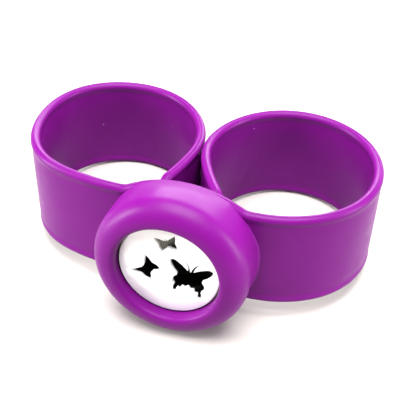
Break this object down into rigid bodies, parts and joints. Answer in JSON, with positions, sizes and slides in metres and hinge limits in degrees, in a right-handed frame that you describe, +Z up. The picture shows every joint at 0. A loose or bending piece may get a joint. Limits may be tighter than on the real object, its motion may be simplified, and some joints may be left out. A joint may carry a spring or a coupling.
{
  "type": "aromatherapy slap band",
  "caption": "Silicone slap band curled back into two loops, with a round head that holds a magnetic steel locket with butterfly cut-outs.",
  "frame": {"origin": "middle of the bounding box on the surface that the band stands on", "axes": "+Z up; +X along the line that touches the backs of both coils; -Y the way the head faces, about 3 degrees off; the band leans back so that it stands on the head and both coils"},
  "size_m": [0.092, 0.0656, 0.0388],
  "materials": {
    "silicone": "satin purple silicone",
    "spring_steel": "bare spring steel",
    "polished_steel": "mirror-polished stainless steel",
    "magnet": "nickel-plated ring magnet"
  },
  "bodies": {
    "head": {"head_moulding": "silicone", "strip_center": "spring_steel"},
    "locket": {"locket_base": "polished_steel", "base_magnet": "magnet"},
    "cover": {"locket_cover": "polished_steel", "cover_magnet": "magnet"},
    "left_link_1": {"left_band_1": "silicone", "left_strip_1": "spring_steel"},
    "left_link_2": {"left_band_2": "silicone", "left_strip_2": "spring_steel"},
    "left_link_3": {"left_band_3": "silicone", "left_strip_3": "spring_steel"},
    "left_link_4": {"left_band_4": "silicone", "left_strip_4": "spring_steel"},
    "left_link_5": {"left_band_5": "silicone", "left_strip_5": "spring_steel"},
    "left_link_6": {"left_band_6": "silicone", "left_strip_6": "spring_steel"},
    "left_link_7": {"left_band_7": "silicone", "left_strip_7": "spring_steel"},
    "left_link_8": {"left_band_8": "silicone", "left_strip_8": "spring_steel"},
    "right_link_1": {"right_band_1": "silicone", "right_strip_1": "spring_steel"},
    "right_link_2": {"right_band_2": "silicone", "right_strip_2": "spring_steel"},
    "right_link_3": {"right_band_3": "silicone", "right_strip_3": "spring_steel"},
    "right_link_4": {"right_band_4": "silicone", "right_strip_4": "spring_steel"},
    "right_link_5": {"right_band_5": "silicone", "right_strip_5": "spring_steel"},
    "right_link_6": {"right_band_6": "silicone", "right_strip_6": "spring_steel"},
    "right_link_7": {"right_band_7": "silicone", "right_strip_7": "spring_steel"},
    "right_link_8": {"right_band_8": "silicone", "right_strip_8": "spring_steel"}
  },
  "joints": [
    {"name": "left_bend_1", "type": "hinge", "parent": "head", "child": "left_link_1", "pos_m": [-0.01537, -0.0181, 0.00503], "axis": [0, 0.1064, 0.9943], "range_deg": [0, 8.76]},
    {"name": "left_wing_uncurl", "type": "hinge", "parent": "left_link_1", "child": "left_link_2", "pos_m": [-0.03213, -0.01452, 0.00465], "axis": [0, 0.1064, 0.9943], "range_deg": [0, 32.75], "stiffness_Nm_per_rad": 0.01, "deforming": ["left_band_8", "left_strip_8"]},
    {"name": "left_bend_3", "type": "hinge", "parent": "left_link_2", "child": "left_link_3", "pos_m": [-0.04396, -0.0028, 0.00339], "axis": [0, 0.1064, 0.9943], "range_deg": [0, 40.51]},
    {"name": "left_bend_4", "type": "hinge", "parent": "left_link_3", "child": "left_link_4", "pos_m": [-0.04532, 0.01402, 0.00159], "axis": [0, 0.1064, 0.9943], "range_deg": [0, 41.51]},
    {"name": "left_bend_5", "type": "hinge", "parent": "left_link_4", "child": "left_link_5", "pos_m": [-0.03531, 0.02726, 0.00017], "axis": [0, 0.1064, 0.9943], "range_deg": [0, 45.51]},
    {"name": "left_bend_6", "type": "hinge", "parent": "left_link_5", "child": "left_link_6", "pos_m": [-0.01862, 0.02948, -0.00006], "axis": [0, 0.1064, 0.9943], "range_deg": [0, 42.26]},
    {"name": "left_bend_7", "type": "hinge", "parent": "left_link_6", "child": "left_link_7", "pos_m": [-0.00481, 0.01999, 0.00095], "axis": [0, 0.1064, 0.9943], "range_deg": [0, 41.76]},
    {"name": "left_bend_8", "type": "hinge", "parent": "left_link_7", "child": "left_link_8", "pos_m": [-0.00085, 0.0037, 0.0027], "axis": [0, 0.1064, 0.9943], "range_deg": [0, 28.01]},
    {"name": "right_bend_1", "type": "hinge", "parent": "head", "child": "right_link_1", "pos_m": [0.01757, -0.02005, 0.00524], "axis": [0, -0.1064, -0.9943], "range_deg": [0, 16.76]},
    {"name": "right_wing_uncurl", "type": "hinge", "parent": "right_link_1", "child": "right_link_2", "pos_m": [0.03406, -0.01616, 0.00482], "axis": [0, -0.1064, -0.9943], "range_deg": [0, 37.5], "stiffness_Nm_per_rad": 0.01, "deforming": ["right_band_8", "right_strip_8"]},
    {"name": "right_bend_3", "type": "hinge", "parent": "right_link_2", "child": "right_link_3", "pos_m": [0.04469, -0.00318, 0.00343], "axis": [0, -0.1064, -0.9943], "range_deg": [0, 40.51]},
    {"name": "right_bend_4", "type": "hinge", "parent": "right_link_3", "child": "right_link_4", "pos_m": [0.04429, 0.01358, 0.00164], "axis": [0, -0.1064, -0.9943], "range_deg": [0, 41.01]},
    {"name": "right_bend_5", "type": "hinge", "parent": "right_link_4", "child": "right_link_5", "pos_m": [0.03297, 0.02593, 0.00032], "axis": [0, -0.1064, -0.9943], "range_deg": [0, 43.01]},
    {"name": "right_bend_6", "type": "hinge", "parent": "right_link_5", "child": "right_link_6", "pos_m": [0.01623, 0.02729, 0.00017], "axis": [0, -0.1064, -0.9943], "range_deg": [0, 44.01]},
    {"name": "right_bend_7", "type": "hinge", "parent": "right_link_6", "child": "right_link_7", "pos_m": [0.00326, 0.01671, 0.0013], "axis": [0, -0.1064, -0.9943], "range_deg": [0, 43.26]},
    {"name": "right_bend_8", "type": "hinge", "parent": "right_link_7", "child": "right_link_8", "pos_m": [0.0011, 0.00013, 0.00308], "axis": [0, -0.1064, -0.9943], "range_deg": [0, 32.01]},
    {"name": "locket_pull", "type": "slide", "parent": "head", "child": "locket", "axis": [-0.0592, -0.9845, 0.165], "range_m": [0, 0.012]},
    {"name": "cover_lift", "type": "slide", "parent": "locket", "child": "cover", "axis": [-0.0592, -0.9845, 0.165], "range_m": [0, 0.01]}
  ],
  "couplings": [
    {"joint": "left_bend_1", "follows": "left_wing_uncurl", "ratio": 0.26718},
    {"joint": "left_bend_3", "follows": "left_wing_uncurl", "ratio": 1.2366},
    {"joint": "left_bend_4", "follows": "left_wing_uncurl", "ratio": 1.2672},
    {"joint": "left_bend_5", "follows": "left_wing_uncurl", "ratio": 1.3893},
    {"joint": "left_bend_6", "follows": "left_wing_uncurl", "ratio": 1.2901},
    {"joint": "left_bend_7", "follows": "left_wing_uncurl", "ratio": 1.2748},
    {"joint": "left_bend_8", "follows": "left_wing_uncurl", "ratio": 0.85496},
    {"joint": "right_bend_1", "follows": "right_wing_uncurl", "ratio": 0.44667},
    {"joint": "right_bend_3", "follows": "right_wing_uncurl", "ratio": 1.08},
    {"joint": "right_bend_4", "follows": "right_wing_uncurl", "ratio": 1.0933},
    {"joint": "right_bend_5", "follows": "right_wing_uncurl", "ratio": 1.1467},
    {"joint": "right_bend_6", "follows": "right_wing_uncurl", "ratio": 1.1733},
    {"joint": "right_bend_7", "follows": "right_wing_uncurl", "ratio": 1.1533},
    {"joint": "right_bend_8", "follows": "right_wing_uncurl", "ratio": 0.85333}
  ]
}
